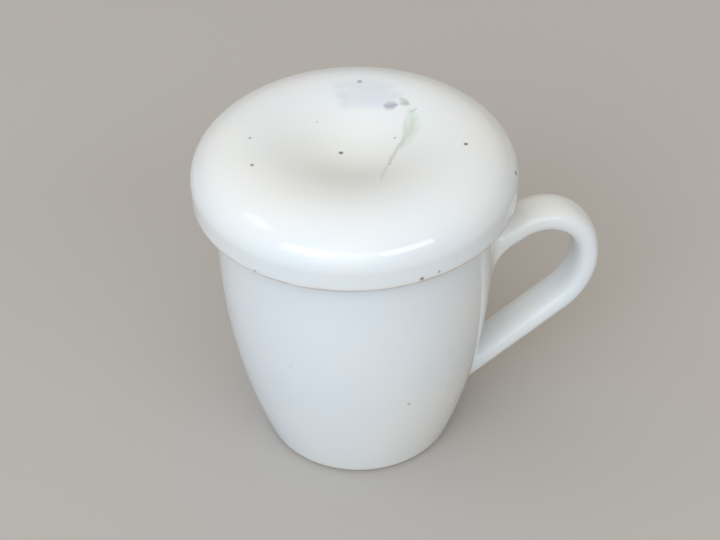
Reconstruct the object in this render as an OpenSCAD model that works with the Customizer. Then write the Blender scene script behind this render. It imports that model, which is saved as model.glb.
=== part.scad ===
// Lidded porcelain tea mug: a tapering mug, a strap handle luted to its wall,
// and a loose lid with a dished top, a skirt outside the rim and a locating
// ring inside it. Millimetres, +Z up. The origin is on the mug's axis at the
// surface it stands on, and the handle points along +X.

/* [Mug] */
// Height of the mug from the table to the top of its rim
mug_h = 103; // [90:1:125]
// Outer diameter of the straight upper wall
mug_d = 87; // [75:1:105]
// Outer diameter the wall's curve runs out to at the table
foot_d = 63; // [52:1:70]
// Height at which the wall stops curving and runs straight up
shoulder_z = 72; // [60:1:86]
// Thickness of the wall
wall = 3.6; // [2.6:0.1:5]
// Thickness of the floor above the foot recess
floor_t = 5; // [3.5:0.1:7]
// Radius inside, where the wall turns into the floor
floor_round = 14; // [8:1:18]
// Depth of the recess inside the foot ring
recess_h = 2.5; // [1.5:0.1:4]
// Width of the unglazed flat of the foot ring
foot_w = 3; // [2:0.1:5]
// Radius that turns the wall under at the foot
foot_round = 2.2; // [1:0.1:4]

/* [Lid] */
// How far the lid stands out past the mug's wall
lid_overhang = 6.5; // [5.5:0.1:9]
// How far the skirt hangs below the mug's rim
skirt_drop = 8; // [5:0.1:11]
// Height of the skirt's straight outer face
skirt_h = 6; // [3:0.1:8]
// Thickness of the skirt
skirt_t = 3.4; // [2.4:0.1:4]
// Height of the lid's crest above the mug's rim
crest_rise = 10; // [8:0.1:14]
// Diameter of the crest ring round the dish
crest_d = 65; // [50:1:70]
// Depth of the dish below the crest
dish_depth = 5.5; // [2:0.1:6.5]
// Thickness of the lid under the dish
lid_t = 4.2; // [3:0.1:5]
// Depth of the locating ring below the mug's rim
ring_depth = 6.5; // [4:0.1:8]
// Thickness of the locating ring
ring_t = 3; // [2:0.1:4]
// Gap all round between the locating ring and the mug's mouth
ring_gap = 1.2; // [0.6:0.1:2]
// Gap left between the lid's seat and the top of the rim
seat_gap = 0.2; // [0.1:0.05:0.4]

/* [Handle] */
// Width of the strap
strap_w = 14.2; // [11:0.1:19]
// Thickness of the strap
strap_t = 8.2; // [6:0.1:10]
// Height at which the middle of the strap leaves the wall
root_z = 67.4; // [64:0.1:72]
// Slope at which the strap rises from the wall
root_rise = 33; // [20:1:45]
// Length of the straight root before the bend
root_l = 10.6; // [9:0.1:16]
// Radius of the tight bend at the top, along the middle of the strap
crown_r = 15; // [13:0.1:18]
// Angle the tight bend turns through
crown_turn = 107; // [90:1:120]
// Radius of the wider bend below it
elbow_r = 22.9; // [18:0.1:27]
// Slope of the straight lower arm
arm_fall = 39; // [36:1:48]
// How much wider and thicker the strap is where it meets the wall
root_flare = 2.4; // [0:0.1:4]
// Length over which the strap flares
flare_l = 11; // [5:1:16]

/* [Hidden] */
porcelain = "#e9eef0";
round_fn = 180;
arc_step = 5;          // degrees between the points of a rounded corner
wall_steps = 24;       // points along the wall's long curve
lid_steps = 40;        // points across the lid's dish; the roll and the dome have half as many
strap_sides = 24;      // points round the strap
strap_step = 3;        // distance between the strap's sections
strap_power = 2.7;     // squareness of the strap's section, 2 for an ellipse
root_sink = 6;         // how far the sweep runs on past the wall before it is cut

// Derived sizes of the mug
mug_r = mug_d/2;
mouth_r = mug_r - wall;
taper = (mug_d - foot_d)/2;
wall_arc_r = (shoulder_z*shoulder_z + taper*taper)/(2*taper);
wall_arc_x = mug_r - wall_arc_r;
floor_z = recess_h + floor_t;
rim_r = wall/2;
curve_z = foot_round*1.5;      // height at which the wall's curve takes over from the foot

// Derived sizes of the lid
lid_r = mug_r + lid_overhang;
skirt_z = mug_h - skirt_drop;
roll_z = skirt_z + skirt_h;
crest_z = mug_h + crest_rise;
crest_r = crest_d/2;
seat_z = mug_h + seat_gap;
ring_r = mouth_r - ring_gap;
ring_z = mug_h - ring_depth;
edge_round = 0.7;      // rounding of the skirt's lower edge
inner_round = 1.4;     // fillets in the lid's channel and on its locating ring
dome_round = 4;        // fillet between the lid's underside and the ring

// Points of an arc about c with radius r, from angle a to angle b
function arc(c, r, a, b) =
    let (n = max(2, ceil(abs(b - a)/arc_step)))
    [for (i = [0:n]) let (t = a + (b - a)*i/n) c + r*[cos(t), sin(t)]];

// Radius of the mug's outer face, taken inwards by d, at height z
function wall_r(z, d = 0) =
    z >= shoulder_z ? mug_r - d
    : wall_arc_x + sqrt(pow(wall_arc_r - d, 2) - pow(shoulder_z - z, 2));

// Points up the wall between two heights, on the face taken inwards by d
function wall_curve(z0, z1, d) =
    [for (i = [0:wall_steps]) let (z = z0 + (z1 - z0)*i/wall_steps) [wall_r(z, d), z]];

// Angle, seen from the centre of the wall's curve, of a point at c
function arc_angle(c) = atan2(c.y - shoulder_z, c.x - wall_arc_x);

// Upper surface of the lid: a cosine dish inside the crest, a quarter ellipse outside it
function lid_top(r) =
    r <= crest_r
    ? crest_z - dish_depth*(1 + cos(180*r/crest_r))/2
    : roll_z + (crest_z - roll_z)*sqrt(max(0, 1 - pow((r - crest_r)/(lid_r - crest_r), 2)));

// Outside of the mug as a solid, which also cuts the handle's ends to the wall
module mug_form() {
    turn = [wall_r(foot_round, foot_round), foot_round];
    rotate_extrude($fn = round_fn)
        polygon(concat(
            [[0, 0]],
            arc(turn, foot_round, -90, arc_angle(turn)),
            wall_curve(curve_z, shoulder_z, 0),
            [[mug_r, mug_h], [0, mug_h]]));
}

module mug_body() {
    turn = [wall_r(foot_round, foot_round), foot_round];
    recess_r = turn.x - foot_w;
    bowl_z = floor_z + floor_round;
    bowl = [wall_r(bowl_z, wall + floor_round), bowl_z];
    outline = concat(
        [[0, recess_h], [recess_r - recess_h, recess_h]],
        arc([recess_r - recess_h, 0], recess_h, 90, 0),
        arc(turn, foot_round, -90, arc_angle(turn)),
        wall_curve(curve_z, shoulder_z, 0),
        arc([mug_r - rim_r, mug_h - rim_r], rim_r, 0, 180),
        wall_curve(shoulder_z, bowl_z - floor_round*sin(-arc_angle(bowl)), wall),
        arc(bowl, floor_round, arc_angle(bowl), -90),
        [[0, floor_z]]);
    color(porcelain) rotate_extrude($fn = round_fn) polygon(outline);
}

// Middle line of the strap, in the plane y = 0: a straight root, a tight bend,
// a wider bend and a straight arm that runs back into the wall
function dir(a) = [cos(a), sin(a)];
crown_c = [mug_r, root_z] + root_l*dir(root_rise) + crown_r*dir(root_rise - 90);
crown_a = root_rise + 90;
elbow_a = crown_a - crown_turn;
elbow_c = crown_c + (crown_r - elbow_r)*dir(elbow_a);
arm_a = arm_fall - 90;
arm_p = elbow_c + elbow_r*dir(arm_a);
arm_dir = -dir(arm_fall);
arm_off = arm_p - [wall_arc_x, shoulder_z];
arm_b = arm_off*arm_dir;
arm_l = -arm_b - sqrt(arm_b*arm_b - arm_off*arm_off + wall_arc_r*wall_arc_r) + root_sink;

// Stations round a bend: [point, outward normal], from angle a to angle b
function bend(c, r, a, b) =
    let (n = ceil(r*(a - b)*PI/180/strap_step))
    [for (i = [0:n]) let (t = a + (b - a)*i/n) [c + r*dir(t), dir(t)]];

// Stations along a straight, short of its end point
function straight(p, d, l, normal) =
    let (n = ceil(l/strap_step)) [for (i = [0:n - 1]) [p + d*l*i/n, normal]];

stations = concat(
    straight([mug_r, root_z] - root_sink*dir(root_rise), dir(root_rise),
        root_l + root_sink, dir(crown_a)),
    bend(crown_c, crown_r, crown_a, elbow_a),
    [for (s = bend(elbow_c, elbow_r, elbow_a, arm_a)) if (s[1] != dir(elbow_a)) s],
    [for (s = straight(arm_p, arm_dir, arm_l, dir(arm_a))) if (s[0] != arm_p) s],
    [[arm_p + arm_dir*arm_l, dir(arm_a)]]);

// Share of the flare at a point, 0 in free strap and 1 at the wall
function flare(p) =
    let (t = min(1, max(0, 1 - (p.x - wall_r(p.y))/flare_l))) t*t;

function signed_pow(v, e) = sign(v)*pow(abs(v), e);

// Section of the strap at a station, as points of a rounded rectangle
function section(s) =
    let (f = flare(s[0]), w = strap_w/2 + f*root_flare/2, t = strap_t/2 + f*root_flare/2)
    [for (k = [0:strap_sides - 1])
        let (a = 360*k/strap_sides,
             u = t*signed_pow(cos(a), 2/strap_power),
             p = s[0] + u*s[1])
        [p.x, w*signed_pow(sin(a), 2/strap_power), p.y]];

module strap() {
    n = len(stations);
    m = strap_sides;
    points = [for (s = stations) each section(s)];
    sides = [for (i = [0:n - 2], k = [0:m - 1])
        let (a = i*m + k, b = i*m + (k + 1)%m) each [[a, b + m, b], [a, a + m, b + m]]];
    caps = [[for (k = [0:m - 1]) k], [for (k = [0:m - 1]) n*m - 1 - k]];
    polyhedron(points, concat(sides, caps));
}

module handle() {
    color(porcelain) difference() {
        strap();
        mug_form();
    }
}

module lid() {
    half = lid_steps/2;
    top = [for (i = [0:lid_steps]) let (r = crest_r*i/lid_steps) [r, lid_top(r)]];
    roll = [for (i = [1:half]) let (a = 90 - 90*i/half)
        [crest_r + (lid_r - crest_r)*cos(a), roll_z + (crest_z - roll_z)*sin(a)]];
    skirt_in = lid_r - skirt_t;
    ring_in = ring_r - ring_t;
    dome_r = ring_in - dome_round;
    dome = [for (i = [0:half]) let (r = dome_r*(1 - i/half)) [r, lid_top(r) - lid_t]];
    outline = concat(
        top,
        roll,
        arc([lid_r - edge_round, skirt_z + edge_round], edge_round, 0, -90),
        arc([skirt_in + edge_round, skirt_z + edge_round], edge_round, -90, -180),
        arc([skirt_in - inner_round, seat_z - inner_round], inner_round, 0, 90),
        arc([ring_r + inner_round, seat_z - inner_round], inner_round, 90, 180),
        arc([ring_r - inner_round, ring_z + inner_round], inner_round, 0, -90),
        arc([ring_in + inner_round, ring_z + inner_round], inner_round, -90, -180),
        arc([dome_r, dome[0].y - dome_round], dome_round, 0, 90),
        dome);
    color(porcelain) rotate_extrude($fn = round_fn) polygon(outline);
}

mug_body();
handle();
lid();
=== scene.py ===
import math

import bmesh
import bpy
from mathutils import Matrix, Vector, noise


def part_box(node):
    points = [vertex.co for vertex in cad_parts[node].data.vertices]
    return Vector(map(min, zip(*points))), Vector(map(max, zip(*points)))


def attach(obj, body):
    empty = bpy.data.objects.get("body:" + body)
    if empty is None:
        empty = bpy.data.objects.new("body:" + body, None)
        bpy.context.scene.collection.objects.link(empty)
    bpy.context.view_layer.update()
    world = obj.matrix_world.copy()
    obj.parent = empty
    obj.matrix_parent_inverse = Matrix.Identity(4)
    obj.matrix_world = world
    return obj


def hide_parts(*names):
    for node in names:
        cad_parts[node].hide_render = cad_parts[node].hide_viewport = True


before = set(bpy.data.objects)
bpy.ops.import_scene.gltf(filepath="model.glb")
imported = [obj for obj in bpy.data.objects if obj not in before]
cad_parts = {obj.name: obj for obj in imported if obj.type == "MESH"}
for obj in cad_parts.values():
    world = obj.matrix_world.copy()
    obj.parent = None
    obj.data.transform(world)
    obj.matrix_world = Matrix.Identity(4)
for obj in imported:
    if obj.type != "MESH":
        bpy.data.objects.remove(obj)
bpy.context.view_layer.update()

scene = bpy.context.scene


# ---------------------------------------------------------------------------
# Camera. It looks down on the mug the way a person does who is about to pick
# it up, from a little to the left of the front, so the handle is at the right.
# ---------------------------------------------------------------------------
camera_aim = Vector((0.0, 0.0, 0.055))
camera_distance = 0.500
camera_side = math.radians(-8.9)       # turned from the front towards -X
camera_height = math.radians(40.74)    # above the horizon
camera_tilt = math.radians(-1.44)      # the camera is held slightly off level

camera_data = bpy.data.cameras.new("camera")
camera_data.lens = 77.0
camera_data.sensor_width = 36.0
camera_data.shift_x = 0.0042
camera_data.shift_y = 0.0200
camera = bpy.data.objects.new("camera", camera_data)
scene.collection.objects.link(camera)
camera.location = camera_aim + camera_distance * Vector((
    math.sin(camera_side) * math.cos(camera_height),
    -math.cos(camera_side) * math.cos(camera_height),
    math.sin(camera_height)))
looking = (camera_aim - camera.location).to_track_quat("-Z", "Y").to_matrix()
camera.rotation_euler = (looking @ Matrix.Rotation(camera_tilt, 3, "Z")).to_euler()
scene.camera = camera
scene.view_settings.view_transform = "Standard"


# ---------------------------------------------------------------------------
# Studio. A plain pale floor in a soft room that is brightest in front, with a row
# of cool window panes there and a small one at the left.
# ---------------------------------------------------------------------------
floor_size = 40.0
floor_colour = (0.46, 0.435, 0.405, 1.0)
floor_roughness = 0.85

floor_mesh = bmesh.new()
bmesh.ops.create_grid(floor_mesh, x_segments=2, y_segments=2, size=floor_size / 2)
floor_data = bpy.data.meshes.new("floor")
floor_mesh.to_mesh(floor_data)
floor_mesh.free()
floor = bpy.data.objects.new("floor", floor_data)
scene.collection.objects.link(floor)
floor_material = bpy.data.materials.new("floor")
floor_material.use_nodes = True
floor_shader = floor_material.node_tree.nodes["Principled BSDF"]
floor_shader.inputs["Base Color"].default_value = floor_colour
floor_shader.inputs["Roughness"].default_value = floor_roughness
floor_data.materials.append(floor_material)

# The room's own light: warm from above, cool and strong from the front, weak from
# the left and from behind. The camera itself sees a plain pale backdrop there.
room_light = (                 # colour, the direction it comes from, how narrow it is
    ((0.76, 0.69, 0.60), (0.0, 0.0, 1.0), 1.0),
    ((1.72, 1.90, 2.13), (-0.29, -0.81, 0.50), 7.0),
    ((0.27, 0.40, 0.58), (-0.94, -0.25, 0.25), 3.0),
    ((0.27, 0.24, 0.20), (0.0, 0.90, 0.42), 2.0))
backdrop_colour = (0.38, 0.355, 0.325, 1.0)

world = bpy.data.worlds.new("studio")
world.use_nodes = True
air = world.node_tree
direction = air.nodes.new("ShaderNodeTexCoord").outputs["Generated"]
total = None
for colour, way, focus in room_light:
    towards = air.nodes.new("ShaderNodeVectorMath")
    towards.operation = "DOT_PRODUCT"
    towards.inputs[1].default_value = way
    above_zero = air.nodes.new("ShaderNodeClamp")
    narrowed = air.nodes.new("ShaderNodeMath")
    narrowed.operation = "POWER"
    narrowed.inputs[1].default_value = focus
    share = air.nodes.new("ShaderNodeVectorMath")
    share.operation = "SCALE"
    share.inputs[0].default_value = colour
    air.links.new(direction, towards.inputs[0])
    air.links.new(towards.outputs["Value"], above_zero.inputs["Value"])
    air.links.new(above_zero.outputs["Result"], narrowed.inputs[0])
    air.links.new(narrowed.outputs["Value"], share.inputs["Scale"])
    if total is None:
        total = share.outputs["Vector"]
        continue
    added = air.nodes.new("ShaderNodeVectorMath")
    air.links.new(total, added.inputs[0])
    air.links.new(share.outputs["Vector"], added.inputs[1])
    total = added.outputs["Vector"]
seen = air.nodes.new("ShaderNodeLightPath")
backdrop = air.nodes.new("ShaderNodeMix")
backdrop.data_type = "RGBA"
backdrop.inputs[7].default_value = backdrop_colour
air.links.new(seen.outputs["Is Camera Ray"], backdrop.inputs["Factor"])
air.links.new(total, backdrop.inputs[6])
air.links.new(backdrop.outputs[2], air.nodes["Background"].inputs["Color"])
scene.world = world


def soft_light(name, side, height, distance, width, depth, watts, colour):
    """A rectangular soft light that faces the mug; angles in degrees, side 0 is the front."""
    data = bpy.data.lights.new(name, "AREA")
    data.shape = "RECTANGLE"
    data.size = width
    data.size_y = depth
    data.energy = watts
    data.color = colour
    lamp = bpy.data.objects.new(name, data)
    scene.collection.objects.link(lamp)
    turn, rise = math.radians(side), math.radians(height)
    lamp.location = camera_aim + distance * Vector((
        math.sin(turn) * math.cos(rise), -math.cos(turn) * math.cos(rise), math.sin(rise)))
    lamp.rotation_euler = (camera_aim - lamp.location).to_track_quat("-Z", "Y").to_euler()


window_colour = (0.84, 0.92, 1.0)
window_distance = 1.3
soft_light("window_left", -42, 37, window_distance, 0.72, 0.44, 3.2, window_colour)
soft_light("window_middle", -8, 38, window_distance, 0.46, 0.18, 0.35, window_colour)
soft_light("window_right", 27, 37, window_distance, 0.74, 0.28, 2.5, window_colour)
soft_light("window_side", -102, 51, window_distance, 0.36, 0.26, 0.55, window_colour)


# ---------------------------------------------------------------------------
# Mug body. A porcelain cup, turned against a template in one piece, straight at
# the top and curving in to a foot ring that is wiped bare, with a full round rim.
# Clear glossy glaze inside and out, with a few iron specks.
# ---------------------------------------------------------------------------
mug_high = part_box("mug_body")[1]
mug_radius = mug_high.x
mug_height = mug_high.z
foot_outline = 0.0315          # radius the wall's curve runs out to at the table
shoulder = 0.072               # height at which the curve meets the straight wall
wall = 0.0036
foot_recess = 0.0025
foot_flat = 0.0030             # width of the bare flat it stands on
foot_turn = 0.0022             # radius that turns the wall under at the foot
foot_bare = 0.0011             # how far up the foot the clay is wiped bare
floor_top = 0.0075
floor_round = 0.014
turned_steps = 192
straight_steps = 12            # points up the straight wall
flat_steps = 8                 # points across a flat floor
waver_size = 0.00007           # how far the fired wall strays from a true circle
waver_edge = 0.004             # the foot and the rim stay true
floor_true = 0.02              # and so does the floor, out to this radius
per_metre = 1000               # millimetres, which specks and brush strokes are given in

wall_taper = mug_radius - foot_outline
wall_curve = (shoulder ** 2 + wall_taper ** 2) / (2 * wall_taper)
wall_centre = mug_radius - wall_curve


def arc(centre, radius, start, end, step=6.0):
    """Points (radius, height) round an arc, angles in degrees."""
    count = max(2, math.ceil(abs(end - start) / step))
    turns = [math.radians(start + (end - start) * i / count) for i in range(count + 1)]
    return [(centre[0] + radius * math.cos(t), centre[1] + radius * math.sin(t)) for t in turns]


def wall_at(height, inwards=0.0):
    """Radius of the mug's outer face at a height, or of a face that far inside it."""
    if height >= shoulder:
        return mug_radius - inwards
    return wall_centre + math.sqrt((wall_curve - inwards) ** 2 - (shoulder - height) ** 2)


def wall_points(low, high, inwards=0.0, count=40):
    """Points (radius, height) up the wall between two heights."""
    heights = [low + (high - low) * i / count for i in range(count + 1)]
    return [(wall_at(h, inwards), h) for h in heights]


def wall_angle(point):
    """Angle of a point, in degrees, seen from the centre of the wall's long curve."""
    return math.degrees(math.atan2(point[1] - shoulder, point[0] - wall_centre))


def turned(name, outline, slots):
    """Spins a closed outline round the mug's axis. slots(face) gives each face's material."""
    bm = bmesh.new()
    path = []
    for radius, height in outline:
        point = Vector((radius, 0.0, height))
        if not path or (point - path[-1].co).length > 1e-6:
            path.append(bm.verts.new(point))
    edges = [bm.edges.new(pair) for pair in zip(path, path[1:])]
    bmesh.ops.spin(bm, geom=path + edges, cent=(0, 0, 0), axis=(0, 0, 1),
                   angle=math.tau, steps=turned_steps, use_merge=True)
    bmesh.ops.remove_doubles(bm, verts=bm.verts, dist=1e-6)
    bmesh.ops.recalc_face_normals(bm, faces=bm.faces)
    for face in bm.faces:
        face.smooth = True
        face.material_index = slots(face)
    data = bpy.data.meshes.new(name)
    bm.to_mesh(data)
    bm.free()
    piece = bpy.data.objects.new(name, data)
    scene.collection.objects.link(piece)
    return piece


foot_centre = (wall_at(foot_turn, foot_turn), foot_turn)
recess_corner = foot_centre[0] - foot_flat - foot_recess
bowl_height = floor_top + floor_round
bowl_centre = (wall_at(bowl_height, wall + floor_round), bowl_height)
bowl_top = bowl_height + floor_round * math.sin(math.radians(wall_angle(bowl_centre)))
rim_height = mug_height - wall / 2
straight_rise = [rim_height - (rim_height - shoulder) * i / straight_steps
                 for i in range(straight_steps)]

mug_outline = (
    [(0.0, foot_recess)]
    + [(recess_corner * i / flat_steps, foot_recess) for i in range(1, flat_steps)]
    + arc((recess_corner, 0.0), foot_recess, 90, 0)
    + arc(foot_centre, foot_turn, -90, wall_angle(foot_centre))
    + wall_points(foot_turn * 1.5, shoulder)
    + [(mug_radius, h) for h in reversed(straight_rise)]
    + arc((mug_radius - wall / 2, rim_height), wall / 2, 0, 180)
    + [(mug_radius - wall, h) for h in straight_rise]
    + wall_points(shoulder, bowl_top, wall)
    + arc(bowl_centre, floor_round, wall_angle(bowl_centre), -90)
    + [(bowl_centre[0] * (1 - i / flat_steps), floor_top) for i in range(1, flat_steps)]
    + [(0.0, floor_top)])


def waver(point):
    """How far the wall strays outwards at a point, in metres."""
    return waver_size * noise.noise(Vector((point.x * 22, point.y * 22, point.z * 14)))


mug = turned("glazed_cup", mug_outline, lambda face: 0)
for vertex in mug.data.vertices:
    reach = Vector((vertex.co.x, vertex.co.y, 0.0))
    if reach.length > floor_true and waver_edge < vertex.co.z < mug_height - waver_edge:
        vertex.co += reach.normalized() * waver(vertex.co)


class Nodes:
    """Adds shader nodes to a material one after another and links them."""

    def __init__(self, name):
        self.material = bpy.data.materials.new(name)
        self.material.use_nodes = True
        self.tree = self.material.node_tree
        self.shader = self.tree.nodes["Principled BSDF"]
        self.place = self.add("ShaderNodeTexCoord").outputs["Object"]

    def add(self, kind, inputs=None, **settings):
        node = self.tree.nodes.new(kind)
        for key, value in settings.items():
            setattr(node, key, value)
        for key, value in (inputs or {}).items():
            if isinstance(value, bpy.types.NodeSocket):
                self.tree.links.new(value, node.inputs[key])
            else:
                node.inputs[key].default_value = value
        return node

    def maths(self, operation, *values):
        return self.add("ShaderNodeMath", dict(enumerate(values)),
                        operation=operation).outputs[0]

    def range(self, value, low, high, to_low=0.0, to_high=1.0):
        return self.add("ShaderNodeMapRange", {
            "Value": value, "From Min": low, "From Max": high,
            "To Min": to_low, "To Max": to_high},
            interpolation_type="SMOOTHSTEP").outputs["Result"]

    def noise(self, scale, detail=2.0, roughness=0.5, vector=None):
        return self.add("ShaderNodeTexNoise", {
            "Vector": vector or self.place, "Scale": scale,
            "Detail": detail, "Roughness": roughness}).outputs["Fac"]

    def mix(self, share, colour_a, colour_b):
        node = self.add("ShaderNodeMix", data_type="RGBA")
        for socket, value in ((node.inputs["Factor"], share),
                              (node.inputs[6], colour_a), (node.inputs[7], colour_b)):
            if isinstance(value, bpy.types.NodeSocket):
                self.tree.links.new(value, socket)
            else:
                socket.default_value = value
        return node.outputs[2]

    def feed(self, socket, value):
        self.tree.links.new(value, self.shader.inputs[socket])


glaze_cool = (0.74, 0.775, 0.79, 1.0)
glaze_warm = (0.79, 0.795, 0.77, 1.0)
speck_colour = (0.035, 0.025, 0.018, 1.0)
speck_core = 0.45              # share of a speck's radius that is at its darkest
speck_rim = 1.8                # share at which it has faded out
scatter_scale = 105.0          # how close the places for further specks lie
scatter_size = 0.042           # size of the largest of those
drift_scale = 16.0             # how quickly the white drifts from cool to warm
clay_colour = (0.56, 0.50, 0.42, 1.0)
flash_colour = (0.33, 0.23, 0.16, 1.0)      # thin brown line where the glaze stops
blush_colour = (0.72, 0.63, 0.56, 1.0)      # warm tint to both sides of that line
flash_cover = 0.42
blush_cover = 0.55
bare_roughness = 0.75
ripple_height = 0.00012        # of the glaze, in metres
grain_height = 0.00008         # of the bare clay


def glazed(name, bare_below, spots=(), painting=None, wild_specks=0.86):
    """Clear glaze over white porcelain. Below bare_below the clay is wiped bare.

    spots are iron specks as (x, y, z, radius in millimetres, darkness), wild_specks
    is the share of places left clean of further ones, and painting adds brushwork and painted
    shade.
    """
    nodes = Nodes(name)
    shader = nodes.shader
    shader.inputs["IOR"].default_value = 1.5
    shader.inputs["Subsurface Weight"].default_value = 0.10
    shader.inputs["Subsurface Radius"].default_value = (1.0, 0.85, 0.7)
    shader.inputs["Subsurface Scale"].default_value = 0.0015

    # The white drifts a little from cool to warm where the glaze lies thicker or thinner.
    colour = nodes.mix(nodes.range(nodes.noise(drift_scale), 0.35, 0.65), glaze_cool, glaze_warm)
    if painting:
        colour = painting(nodes, colour)

    # Iron specks burnt through the glaze, fading out at their edges.
    scatter = nodes.add("ShaderNodeTexVoronoi", {"Vector": nodes.place, "Scale": scatter_scale})
    chance = nodes.add("ShaderNodeSeparateColor", {"Color": scatter.outputs["Color"]})
    size = nodes.range(chance.outputs["Red"], wild_specks, 1.0, 0.0, scatter_size)
    apart = nodes.maths("SUBTRACT", scatter.outputs["Distance"], size)
    speck = nodes.range(apart, -0.004, 0.012, 1.0, 0.0)
    speck = nodes.maths("MULTIPLY", speck, nodes.maths(
        "GREATER_THAN", chance.outputs["Red"], wild_specks))
    ragged = nodes.maths("MULTIPLY", nodes.noise(2600.0, 1.0), 0.00022)
    for x, y, z, radius, darkness in spots:
        away = nodes.add("ShaderNodeVectorMath", {
            0: nodes.place, 1: Vector((x, y, z)) / per_metre}, operation="DISTANCE")
        core, rim = speck_core * radius / per_metre, speck_rim * radius / per_metre
        spot = nodes.range(nodes.maths("ADD", away.outputs["Value"], ragged),
                           core, rim, darkness, 0.0)
        speck = nodes.maths("MAXIMUM", speck, spot)
    colour = nodes.mix(nodes.maths("MULTIPLY", speck, 0.9), colour, speck_colour)

    # Bare clay where the piece stands, flashed brown along the edge of the glaze.
    height = nodes.add("ShaderNodeSeparateXYZ", {"Vector": nodes.place}).outputs["Z"]
    height = nodes.maths("ADD", height, nodes.maths(
        "MULTIPLY", nodes.maths("SUBTRACT", nodes.noise(160.0), 0.5), 0.0008))
    bare = nodes.range(height, bare_below, bare_below + 0.0003, 1.0, 0.0)
    edge = nodes.maths("ABSOLUTE", nodes.maths("SUBTRACT", height, bare_below))
    flash = nodes.range(edge, 0.0001, 0.0004, 1.0, 0.0)
    blush = nodes.range(edge, 0.0002, 0.0014, 1.0, 0.0)
    grain = nodes.noise(1800.0, 3.0)
    colour = nodes.mix(bare, colour, clay_colour)
    colour = nodes.mix(nodes.maths("MULTIPLY", blush, blush_cover), colour, blush_colour)
    colour = nodes.mix(nodes.maths("MULTIPLY", flash, flash_cover), colour, flash_colour)
    nodes.feed("Base Color", colour)

    gloss = nodes.range(nodes.noise(45.0, 3.0), 0.3, 0.7, 0.03, 0.06)
    nodes.feed("Roughness", nodes.maths("MAXIMUM", gloss, nodes.maths(
        "MULTIPLY", bare, bare_roughness)))

    # The glaze has a slight ripple; the bare clay is grainy.
    ripple = nodes.maths("MULTIPLY", nodes.noise(70.0, 1.0), ripple_height)
    grit = nodes.maths("MULTIPLY", nodes.maths("MULTIPLY", grain, bare), grain_height)
    relief = nodes.maths("ADD", ripple, grit)
    bump = nodes.add("ShaderNodeBump", {"Height": relief, "Strength": 0.5, "Distance": 1.0})
    nodes.feed("Normal", bump.outputs["Normal"])
    return nodes.material


mug_specks = [(9.3, -39.7, 37.5, 0.55, 0.5), (23.2, -33.5, 37.3, 0.40, 0.35),
              (-26.4, -33.7, 54.9, 0.35, 0.3), (-30.6, -24.2, 27.5, 0.35, 0.3)]
mug_glaze = glazed("mug_glaze", bare_below=foot_bare, spots=mug_specks)
mug.data.materials.append(mug_glaze)
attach(mug, "mug")
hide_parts("mug_body")


# ---------------------------------------------------------------------------
# Handle. A flat oval strap of the same porcelain, bent while soft, luted to the
# wall with slip that is smoothed to a hollow fillet all round each root, and
# glazed together with the mug.
# ---------------------------------------------------------------------------
strap_width = 0.0142
strap_thickness = 0.0082
strap_squareness = 2.5
strap_sides = 48
crown_steps = 36
elbow_steps = 30
root_height = 0.0674           # where the middle of the strap leaves the wall
root_rise = 33.0               # slope of the straight root, degrees
root_length = 0.0106
crown_radius = 0.0150          # the tight bend at the top
crown_turn = 107.0             # degrees it turns through
elbow_radius = 0.0229          # the wider bend below it
arm_fall = 39.0                # slope of the lower arm, degrees
fillet = 0.0050                # how far a fillet runs along the wall and the strap
deep_fillet = 0.0098           # the same under the upper root, where more slip is pressed in
fillet_sink = 0.00008          # how deep its thin outer edge lies in the glaze
fillet_steps = 12
tail = 0.0012                  # how far the strap runs on into the wall
wall_reach = 0.06              # a straight run never needs to be longer to meet the wall
halvings = 40                  # of that reach, to find where it does


def heading(angle):
    """Unit vector in the handle's plane, degrees above +X."""
    return Vector((math.cos(math.radians(angle)), 0.0, math.sin(math.radians(angle))))


root_end = Vector((mug_radius, 0.0, root_height)) + root_length * heading(root_rise)
crown_centre = root_end + crown_radius * heading(root_rise - 90)
elbow_start = root_rise + 90 - crown_turn
elbow_centre = crown_centre + (crown_radius - elbow_radius) * heading(elbow_start)
elbow_turn = elbow_start - (arm_fall - 90)


def oval(value, half):
    """Turns a coordinate of the unit circle into one of the strap's squarish oval."""
    return half * math.copysign(abs(value) ** (2 / strap_squareness), value)


strap = bmesh.new()
bmesh.ops.create_circle(strap, segments=strap_sides, radius=1.0)
across = heading(root_rise + 90)
for vertex in strap.verts:
    vertex.co = (root_end + across * oval(vertex.co.x, strap_thickness / 2)
                 + Vector((0, oval(vertex.co.y, strap_width / 2), 0)))
top_ring = list(strap.edges)
crown = bmesh.ops.spin(strap, geom=top_ring, cent=crown_centre, axis=(0, 1, 0),
                       angle=math.radians(crown_turn), steps=crown_steps)
crown_ring = [e for e in crown["geom_last"] if isinstance(e, bmesh.types.BMEdge)]
elbow = bmesh.ops.spin(strap, geom=crown_ring, cent=elbow_centre, axis=(0, 1, 0),
                       angle=math.radians(elbow_turn), steps=elbow_steps)
elbow_ring = [e for e in elbow["geom_last"] if isinstance(e, bmesh.types.BMEdge)]


def extend(ring, place):
    """Extrudes a ring of edges and moves each new vertex to place(its old vertex)."""
    old = {v for e in ring for v in e.verts}
    grown = bmesh.ops.extrude_edge_only(strap, edges=ring)["geom"]
    new_ring = [e for e in grown if isinstance(e, bmesh.types.BMEdge)]
    source = {}
    for vertex in {v for e in new_ring for v in e.verts}:
        source[vertex] = next(e.other_vert(vertex) for e in vertex.link_edges
                              if e.other_vert(vertex) in old)
    for vertex, before in source.items():
        vertex.co = place(before)
    return new_ring, source


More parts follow.
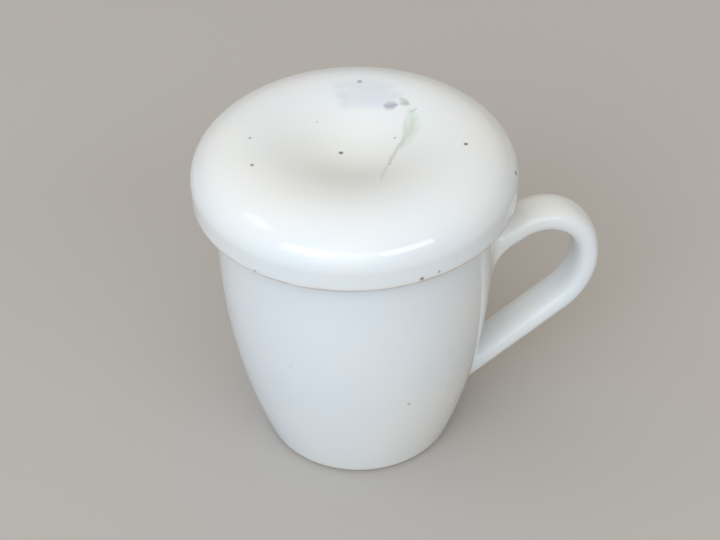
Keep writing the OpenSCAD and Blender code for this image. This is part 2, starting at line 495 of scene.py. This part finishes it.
def run_in(ring, slope, out_slope, steps, fillet_out, fillet_in):
    """Runs a ring straight to the wall and turns it out into a fillet on the glaze.

    The strap falls to the wall at slope, its outer face looks along out_slope, and
    the fillet's reach goes from fillet_out there to fillet_in on the inner face.
    """
    towards, across = -heading(slope), heading(out_slope)
    start = {}
    middle = Vector()
    for vertex in {v for e in ring for v in e.verts}:
        start[vertex] = vertex.co.copy()
        middle += vertex.co / strap_sides
    tracks = {}
    for vertex, base in start.items():
        low, high = 0.0, wall_reach
        for _ in range(halvings):
            length = (low + high) / 2
            point = base + towards * length
            if math.hypot(point.x, point.y) > wall_at(point.z):
                low = length
            else:
                high = length
        corner = base + towards * low
        lean = (wall_at(corner.z + 0.0005) - wall_at(corner.z - 0.0005)) / 0.001
        outwards = Vector((corner.x, corner.y, 0)).normalized()
        outwards = (outwards - lean * Vector((0, 0, 1))).normalized()
        flat = base - middle
        flat -= towards * flat.dot(towards)
        thick = flat.dot(across) / (strap_thickness / 2)
        wide = flat.y / (strap_width / 2)
        power = strap_squareness - 1
        side = (across * math.copysign(abs(thick) ** power, thick) / strap_thickness
                + Vector((0, 1, 0)) * math.copysign(abs(wide) ** power, wide) / strap_width)
        along = (side - outwards * side.dot(outwards)).normalized()
        reach = fillet_in + (fillet_out - fillet_in) * (1 + thick) / 2
        tracks[vertex] = (base, low, corner, outwards, along, reach)
    current = dict(tracks)

    def advance(position):
        nonlocal ring, current
        ring, source = extend(ring, lambda before: position(*current[before]))
        current = {new: current[old] for new, old in source.items()}

    for i in range(1, steps + 1):
        advance(lambda base, low, corner, out, along, reach:
                base + towards * (low - reach) * i / steps)
    for i in range(1, fillet_steps + 1):
        t = i / fillet_steps

        def on_fillet(base, low, corner, out, along, reach):
            point = corner + reach * ((1 - t) ** 2 * -towards + t ** 2 * along)
            gap = reach * (1 - t) ** 2 * -towards.dot(out) - fillet_sink * t ** 2
            radius = wall_at(point.z) + gap / max(0.5, Vector((out.x, out.y, 0)).length)
            return Vector((point.x, point.y, 0)).normalized() * radius + Vector((0, 0, point.z))

        advance(on_fillet)
    ends = {v: v.co - track[3] * tail for v, track in current.items()}
    ring, _ = extend(ring, lambda before: ends[before])
    bmesh.ops.holes_fill(strap, edges=ring, sides=strap_sides)


run_in(top_ring, root_rise, root_rise + 90, 5, fillet, deep_fillet)
run_in(elbow_ring, arm_fall, arm_fall - 90, 16, fillet, fillet)
bmesh.ops.recalc_face_normals(strap, faces=strap.faces)
for face in strap.faces:
    face.smooth = len(face.verts) == 4
strap_data = bpy.data.meshes.new("strap_handle")
strap.to_mesh(strap_data)
strap.free()
handle = bpy.data.objects.new("strap_handle", strap_data)
scene.collection.objects.link(handle)
nowhere = -0.01                # the glaze covers the whole strap
handle_glaze = glazed("handle_glaze", bare_below=nowhere, wild_specks=0.93)
handle.data.materials.append(handle_glaze)
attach(handle, "mug")
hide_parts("handle")


# ---------------------------------------------------------------------------
# Lid. One turned porcelain disc: a dish inside a round crest, a wide roll down to
# a skirt outside the rim, and a locating ring below that drops into the mouth.
# Fired standing on its bare skirt edge, with a tulip brushed on under the glaze.
# ---------------------------------------------------------------------------
lid_low, lid_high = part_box("lid")
lid_radius = lid_high.x
crest_height = lid_high.z
skirt_bottom = lid_low.z
crest_radius = 0.0325
dish_depth = 0.0055
roll_bottom = skirt_bottom + 0.0060
skirt_thickness = 0.0034
skirt_edge = 0.0007            # rounding of the skirt's lower edge
skirt_bare = 0.0004            # how far up the skirt the clay is wiped bare
lid_thickness = 0.0042
seat = mug_height + 0.0002
ring_outer = mug_radius - wall - 0.0012
ring_inner = ring_outer - 0.0030
ring_bottom = mug_height - 0.0065
channel_round = 0.0014
dome_round = 0.0040
dome_radius = ring_inner - dome_round


def lid_top(radius):
    """Height of the lid's upper face: a cosine dish, then a quarter ellipse."""
    if radius <= crest_radius:
        return crest_height - dish_depth * (1 + math.cos(math.pi * radius / crest_radius)) / 2
    out = (radius - crest_radius) / (lid_radius - crest_radius)
    return roll_bottom + (crest_height - roll_bottom) * math.sqrt(max(0.0, 1 - out * out))


dish_steps = 48
roll_steps = 44
dome_steps = 24
skirt_steps = 4
skirt_inner = lid_radius - skirt_thickness
dish = [(crest_radius * i / dish_steps, lid_top(crest_radius * i / dish_steps))
        for i in range(dish_steps + 1)]
roll = [(crest_radius + (lid_radius - crest_radius) * math.sin(math.pi * i / roll_steps / 2),
         roll_bottom + (crest_height - roll_bottom) * math.cos(math.pi * i / roll_steps / 2))
        for i in range(1, roll_steps + 1)]
dome_radii = [dome_radius * (1 - i / dome_steps) for i in range(dome_steps + 1)]
dome = [(r, lid_top(r) - lid_thickness) for r in dome_radii]
lid_outline = (
    dish + roll
    + [(lid_radius, roll_bottom - (roll_bottom - skirt_bottom - skirt_edge) * i / skirt_steps)
       for i in range(1, skirt_steps)]
    + arc((lid_radius - skirt_edge, skirt_bottom + skirt_edge), skirt_edge, 0, -90)
    + arc((skirt_inner + skirt_edge, skirt_bottom + skirt_edge), skirt_edge, -90, -180)
    + arc((skirt_inner - channel_round, seat - channel_round), channel_round, 0, 90)
    + arc((ring_outer + channel_round, seat - channel_round), channel_round, 90, 180)
    + arc((ring_outer - channel_round, ring_bottom + channel_round), channel_round, 0, -90)
    + arc((ring_inner + channel_round, ring_bottom + channel_round), channel_round, -90, -180)
    + arc((dome_radius, dome[0][1] - dome_round), dome_round, 0, 90)
    + dome)


def painted_side(face):
    """Material slot of a face: 1 for the painted top, 0 for the rest."""
    return int(face.normal.z > 0.05 and face.calc_center_median().z > roll_bottom)


lid = turned("dished_lid", lid_outline, painted_side)

# The first colour is painted shade for the middle of the lid's dish; the rest are the tulip's
# paints.
dish_shade_colour = (0.775, 0.79, 0.77, 1.0)
petal_colour = (0.46, 0.50, 0.61, 1.0)
petal_edge_colour = (0.50, 0.48, 0.61, 1.0)
blotch_colour = (0.23, 0.22, 0.31, 1.0)
sepal_colour = (0.25, 0.33, 0.22, 1.0)
leaf_colour = (0.42, 0.57, 0.42, 1.0)
vein_colour = (0.24, 0.34, 0.22, 1.0)
stem_colour = (0.30, 0.31, 0.20, 1.0)
bud_colour = (0.36, 0.30, 0.16, 1.0)

# Each brush stroke: start, end, how far its middle bows to the left, width,
# softness of its edge, how strongly it covers, colour. Millimetres on the lid.
tulip_strokes = [
    ((-0.8, 29.8), (18.0, 24.4), 0.4, 9.5, 0.95, 0.26, petal_colour),
    ((-1.8, 25.0), (19.8, 19.6), 0.2, 11.5, 0.90, 0.34, petal_colour),
    ((-2.0, 21.2), (17.6, 17.4), -0.2, 7.5, 0.90, 0.20, petal_colour),
    ((-0.2, 31.4), (1.0, 17.8), 0.0, 6.5, 0.95, 0.20, petal_edge_colour),
    ((12.0, 17.3), (16.8, 16.0), 0.0, 5.6, 0.95, 0.72, blotch_colour),
    ((17.7, 19.4), (20.3, 15.0), 0.0, 3.2, 0.95, 0.42, sepal_colour),
    ((16.8, 16.7), (20.4, 14.9), 0.0, 2.8, 0.95, 0.42, sepal_colour),
    ((17.4, 17.9), (20.2, 15.2), 0.0, 3.4, 0.95, 0.22, sepal_colour),
    ((19.9, 14.2), (13.3, -4.6), 2.3, 6.8, 0.85, 0.42, leaf_colour),
    ((18.0, 10.5), (13.4, -4.0), 0.7, 2.6, 0.95, 0.28, vein_colour),
    ((19.9, 9.0), (15.4, -0.6), 0.8, 3.0, 0.95, 0.20, vein_colour),
    ((15.8, 1.6), (8.6, -10.8), -0.3, 2.5, 0.95, 0.40, stem_colour),
    ((10.6, -7.6), (4.4, -21.0), -0.5, 2.0, 0.95, 0.26, stem_colour),
    ((19.3, 11.5), (22.4, 12.7), 0.0, 1.8, 0.90, 0.42, bud_colour),
]


def tulip(nodes, colour):
    """Paints shade into the dish, then brushes the strokes over the glaze colour, each with
    streaks from the hairs.
    """
    # A small shake keeps the edges of the strokes from being too even.
    shake = nodes.add("ShaderNodeTexNoise", {
        "Vector": nodes.place, "Scale": 330.0, "Detail": 2.0}).outputs["Color"]
    shake = nodes.add("ShaderNodeVectorMath", {0: shake, 1: (0.5, 0.5, 0.5)},
                      operation="SUBTRACT").outputs["Vector"]
    shake = nodes.add("ShaderNodeVectorMath", {0: shake, "Scale": 0.0012},
                      operation="SCALE").outputs["Vector"]
    place = nodes.add("ShaderNodeVectorMath", {0: nodes.place, 1: shake},
                      operation="ADD").outputs["Vector"]
    # Painted shade: the dish is coloured a shade greyer and warmer towards its centre, for the
    # shade that falls in the hollow.
    flat_place = nodes.add("ShaderNodeMapping", {"Vector": nodes.place, "Scale": (1, 1, 0)})
    from_axis = nodes.add("ShaderNodeVectorMath", {0: flat_place.outputs["Vector"]},
                          operation="LENGTH").outputs["Value"]
    colour = nodes.mix(nodes.range(from_axis, 0.006, 0.031, 1.0, 0.0), colour, dish_shade_colour)
    for start, end, bow, width, softness, cover, paint in tulip_strokes:
        begin, finish = Vector(start) / per_metre, Vector(end) / per_metre
        length = (finish - begin).length
        angle = math.atan2(finish.y - begin.y, finish.x - begin.x)
        stroke = nodes.add("ShaderNodeMapping", {
            "Vector": place, "Location": (begin.x, begin.y, 0), "Rotation": (0, 0, angle),
            "Scale": (length, width / 2 / per_metre, 1)},
            vector_type="TEXTURE").outputs["Vector"]
        parts = nodes.add("ShaderNodeSeparateXYZ", {"Vector": stroke})
        along, aside = parts.outputs["X"], parts.outputs["Y"]
        # 4 t (1 - t) is 0 at both ends of the stroke and 1 halfway along it.
        belly = nodes.maths("MULTIPLY", nodes.maths("MULTIPLY", along, 4.0),
                            nodes.maths("SUBTRACT", 1.0, along))
        bowed = nodes.maths("SUBTRACT", aside, nodes.maths("MULTIPLY", belly, bow / (width / 2)))
        fullness = nodes.maths("POWER", nodes.maths("MAXIMUM", belly, 0.0), 0.45)
        inside = nodes.maths("SUBTRACT", fullness, nodes.maths("ABSOLUTE", bowed))
        mask = nodes.range(inside, 0.0, softness)
        hairs = nodes.add("ShaderNodeMapping", {"Vector": stroke, "Scale": (1.5, 3.5, 0)})
        streak = nodes.range(nodes.noise(1.0, 3.0, vector=hairs.outputs["Vector"]),
                             0.3, 0.7, 0.70, 1.0)
        mask = nodes.maths("MULTIPLY", nodes.maths("MULTIPLY", mask, streak), cover)
        colour = nodes.mix(mask, colour, paint)
    return colour


lid_specks = [(-3.8, 0.5, 107.7, 0.66, 1.0), (-30.5, 6.2, 113.0, 0.52, 0.60),
              (-31.5, -7.6, 113.0, 0.52, 0.95), (32.4, -9.6, 112.9, 0.62, 1.0),
              (7.2, 29.9, 112.9, 0.80, 0.50), (13.2, 2.4, 109.5, 0.46, 0.45),
              (8.9, -10.4, 109.6, 0.44, 0.40), (-8.9, 14.2, 110.4, 0.44, 0.25),
              (46.6, -15.8, 104.7, 0.70, 0.90)]
skirt_specks = [(11.1, -48.7, 96.4, 0.62, 1.0), (16.4, -47.2, 97.0, 0.44, 0.6),
                (-35.1, -35.6, 96.0, 0.46, 0.7)]
lid_plain = glazed("lid_glaze", bare_below=skirt_bottom + skirt_bare, spots=skirt_specks)
lid_painted = glazed("lid_painted", bare_below=skirt_bottom + skirt_bare,
                     spots=lid_specks, painting=tulip)
lid.data.materials.append(lid_plain)
lid.data.materials.append(lid_painted)
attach(lid, "lid")
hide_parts("lid")
